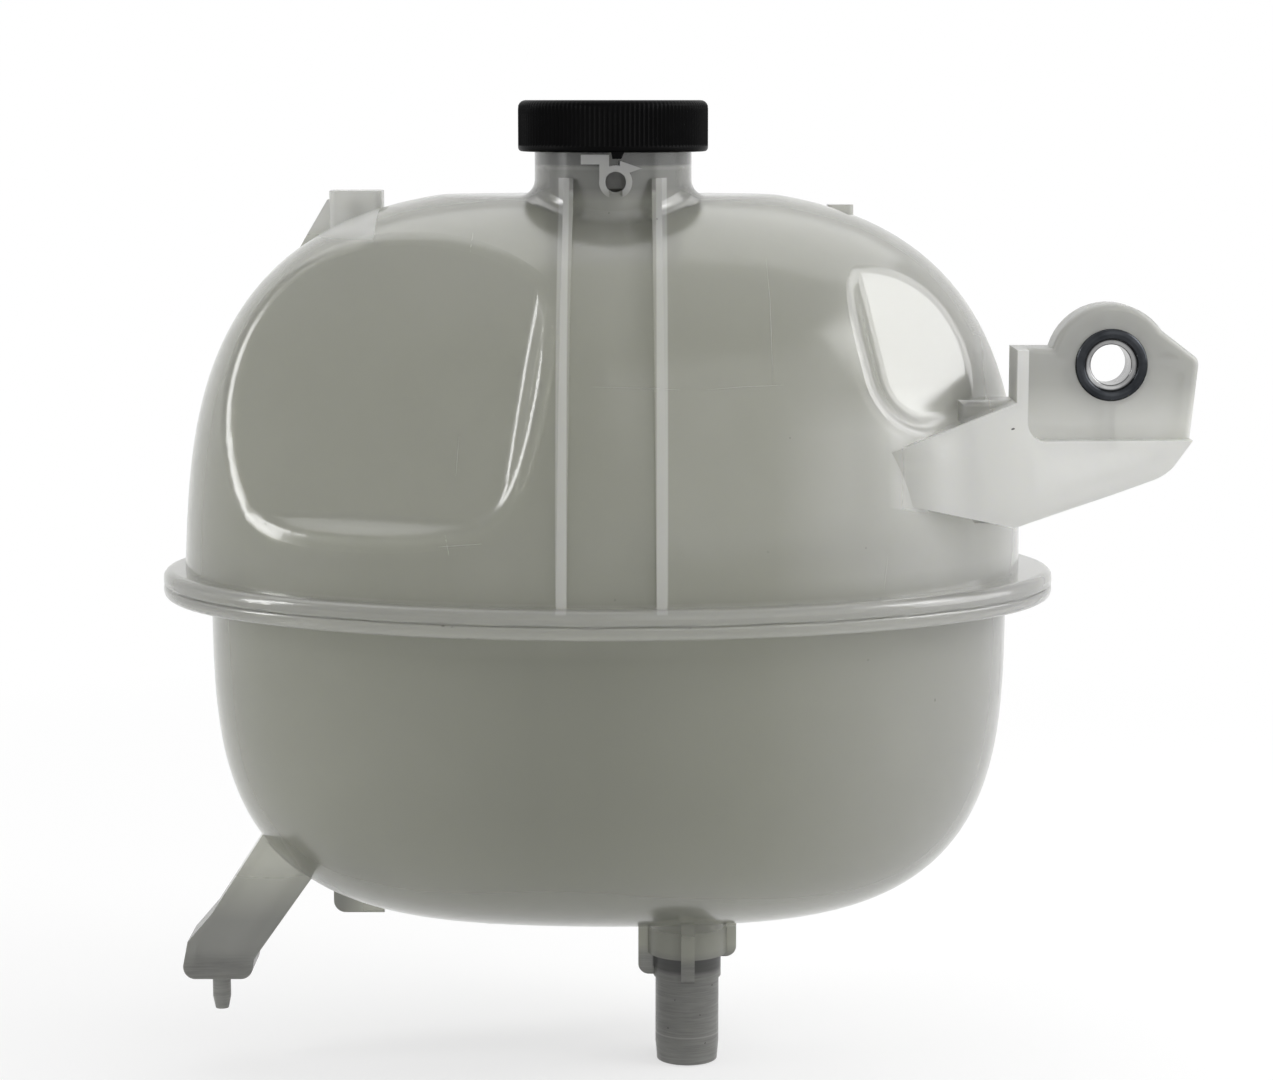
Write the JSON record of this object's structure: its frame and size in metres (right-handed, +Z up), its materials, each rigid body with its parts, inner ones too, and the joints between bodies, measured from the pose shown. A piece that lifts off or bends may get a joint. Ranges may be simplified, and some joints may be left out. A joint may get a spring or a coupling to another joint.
{
  "type": "coolant expansion tank",
  "caption": "Translucent coolant expansion tank with welded upper and lower shells, valved screw cap, bushed fixing arm, locating leg and hose outlet underneath.",
  "frame": {"origin": "on the arm bush's axis, at its rear seat, where the fixing screw holds the tank", "axes": "+Z up, +X to the right along the tank, from the neck towards the arm, -Y to the front, along the bush towards the screw's head"},
  "size_m": [0.3274, 0.188, 0.316],
  "materials": {
    "natural_polypropylene": "milky, translucent, satin gloss",
    "cap_plastic": "fine serrated, satin",
    "insert_plastic": "satin",
    "bush_steel": "dark phosphated, turned",
    "valve_steel": "pressed",
    "spring_steel": "drawn",
    "valve_brass": "turned",
    "seal_rubber": "moulded"
  },
  "bodies": {
    "tank": {"upper_shell": "natural_polypropylene", "lower_shell": "natural_polypropylene", "arm_bush": "bush_steel"},
    "insert": {"cap_insert": "insert_plastic", "neck_gasket": "seal_rubber", "insert_o_ring": "seal_rubber", "spring_retainer": "insert_plastic", "pressure_spring": "spring_steel"},
    "cap": {"cap_shell": "cap_plastic"},
    "pressure_valve": {"pressure_valve": "valve_steel", "valve_seal": "seal_rubber", "vacuum_spring": "spring_steel"},
    "vacuum_valve": {"vacuum_valve": "valve_brass", "vacuum_clip": "spring_steel"}
  },
  "joints": [
    {"name": "cap_lift", "type": "slide", "parent": "tank", "child": "insert", "axis": [0, 0, 1], "range_m": [0, 0.008]},
    {"name": "cap_turn", "type": "hinge", "parent": "insert", "child": "cap", "pos_m": [-0.154, 0.019, 0.07], "axis": [0, 0, 1], "range_deg": [0, 720]},
    {"name": "pressure_valve_lift", "type": "slide", "parent": "insert", "child": "pressure_valve", "axis": [0, 0, 1], "range_m": [0, 0.003], "stiffness_N_per_m": 4100, "springref_m": -0.01, "deforming": ["pressure_spring"]},
    {"name": "vacuum_valve_drop", "type": "slide", "parent": "pressure_valve", "child": "vacuum_valve", "axis": [0, 0, -1], "range_m": [0, 0.0015], "stiffness_N_per_m": 740, "springref_m": -0.0005, "deforming": ["vacuum_spring"]}
  ],
  "couplings": [
    {"joint": "cap_lift", "follows": "cap_turn", "m_per_rad": 0.0006366}
  ]
}
